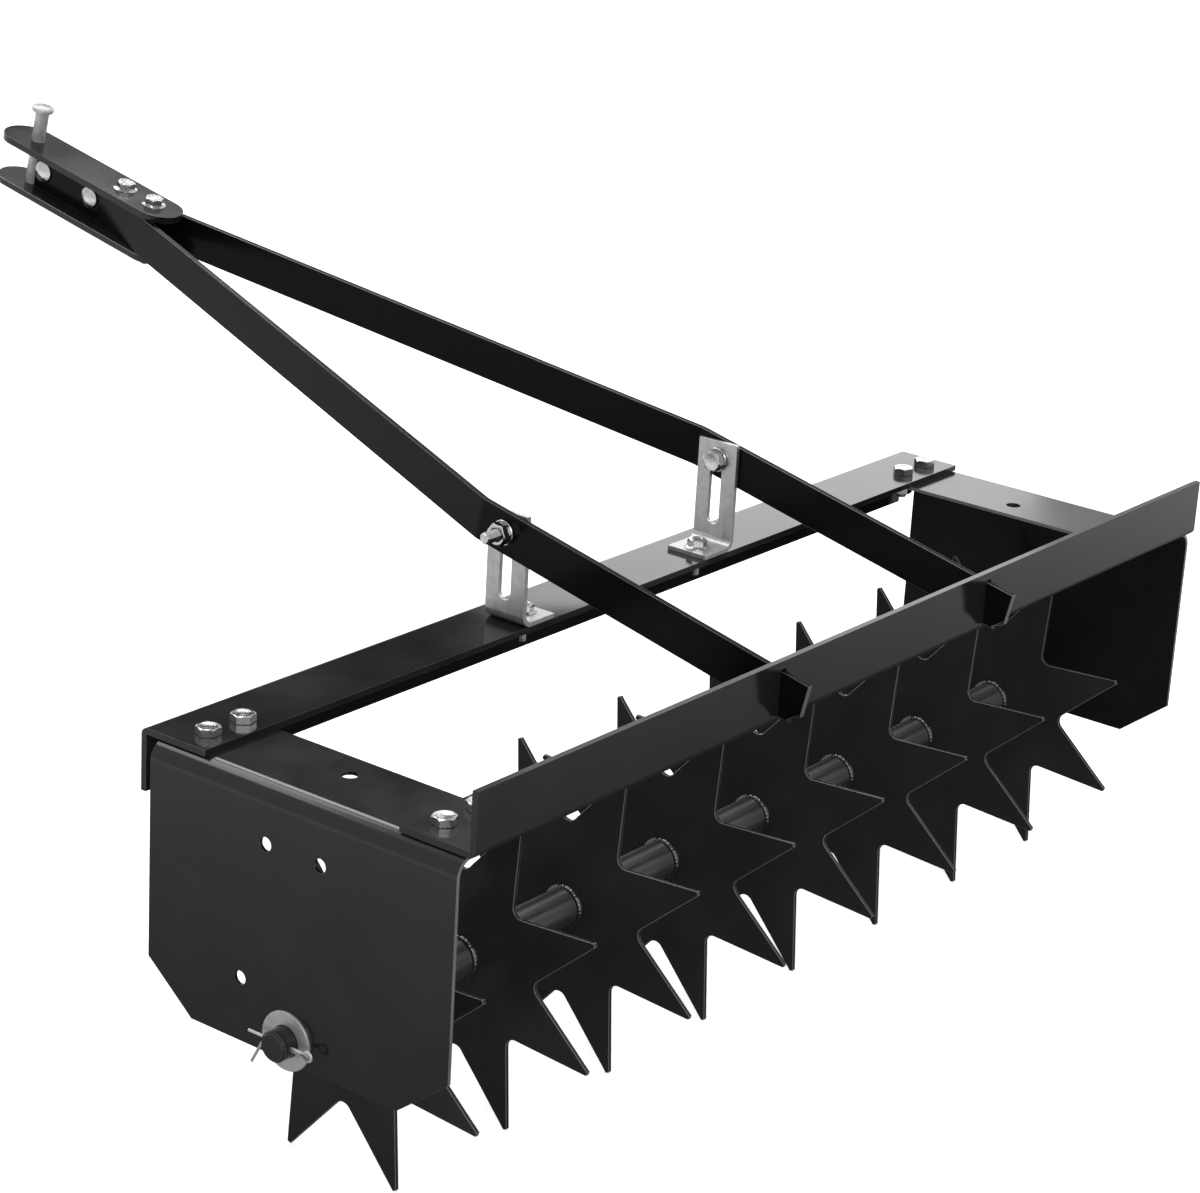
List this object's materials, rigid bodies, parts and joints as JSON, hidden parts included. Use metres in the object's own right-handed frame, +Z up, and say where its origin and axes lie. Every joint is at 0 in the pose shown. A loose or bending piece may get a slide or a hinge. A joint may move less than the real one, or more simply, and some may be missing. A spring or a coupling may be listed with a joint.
{
  "type": "tow behind aerator",
  "caption": "Lawn spiking aerator towed behind a mower: a frame with a rotor of star-shaped spike plates and a height-adjustable V drawbar with a drop pin hitch.",
  "frame": {"origin": "on the ground under the middle of the machine's overall box, with the spikes standing on the ground", "axes": "+Y forwards in the direction of towing, +Z up, +X to the right seen from behind, along the axle"},
  "size_m": [1.049, 1.0346, 0.6087],
  "materials": {
    "black_coat": "satin",
    "black_rotor": "gloss",
    "zinc": "polished",
    "galvanised_steel": "satin",
    "nylon": "matte"
  },
  "bodies": {
    "frame": {"end_plate_left": "black_coat", "end_plate_right": "black_coat", "front_angle": "black_coat", "rear_angle": "black_coat", "corner_bolts": "zinc", "corner_washers": "zinc", "corner_nuts": "zinc", "bracket_left": "galvanised_steel", "bracket_right": "galvanised_steel", "foot_bolts": "zinc", "foot_nuts": "zinc", "axle_rod": "black_rotor", "axle_washers": "zinc", "cotter_pin_left": "zinc", "cotter_pin_right": "zinc"},
    "rotor": {"rotor_tube": "black_rotor", "tube_bushes": "nylon", "star_1": "black_rotor", "star_2": "black_rotor", "star_3": "black_rotor", "star_4": "black_rotor", "star_5": "black_rotor", "star_6": "black_rotor", "star_7": "black_rotor", "star_8": "black_rotor"},
    "drawbar": {"drawbar_left": "black_coat", "drawbar_right": "black_coat", "slot_bolts": "zinc", "slot_washers": "zinc", "slot_nuts": "zinc", "hitch_plate_top": "black_coat", "hitch_plate_bottom": "black_coat", "clamp_bolts": "zinc", "clamp_nuts": "zinc", "cross_bolts": "zinc", "cross_nuts": "zinc"},
    "hitch_pin": {"hitch_pin": "zinc"}
  },
  "joints": [
    {"name": "rotor_spin", "type": "hinge", "parent": "frame", "child": "rotor", "pos_m": [0, -0.33413, 0.12845], "axis": [1, 0, 0], "continuous": true},
    {"name": "drawbar_tilt", "type": "hinge", "parent": "frame", "child": "drawbar", "pos_m": [0, -0.49013, 0.37443], "axis": [1, 0, 0], "range_deg": [-10.96, 0]},
    {"name": "hitch_pin_lift", "type": "slide", "parent": "drawbar", "child": "hitch_pin", "axis": [0, -0.2122, 0.9772], "range_m": [-0.028, 0.052]}
  ]
}
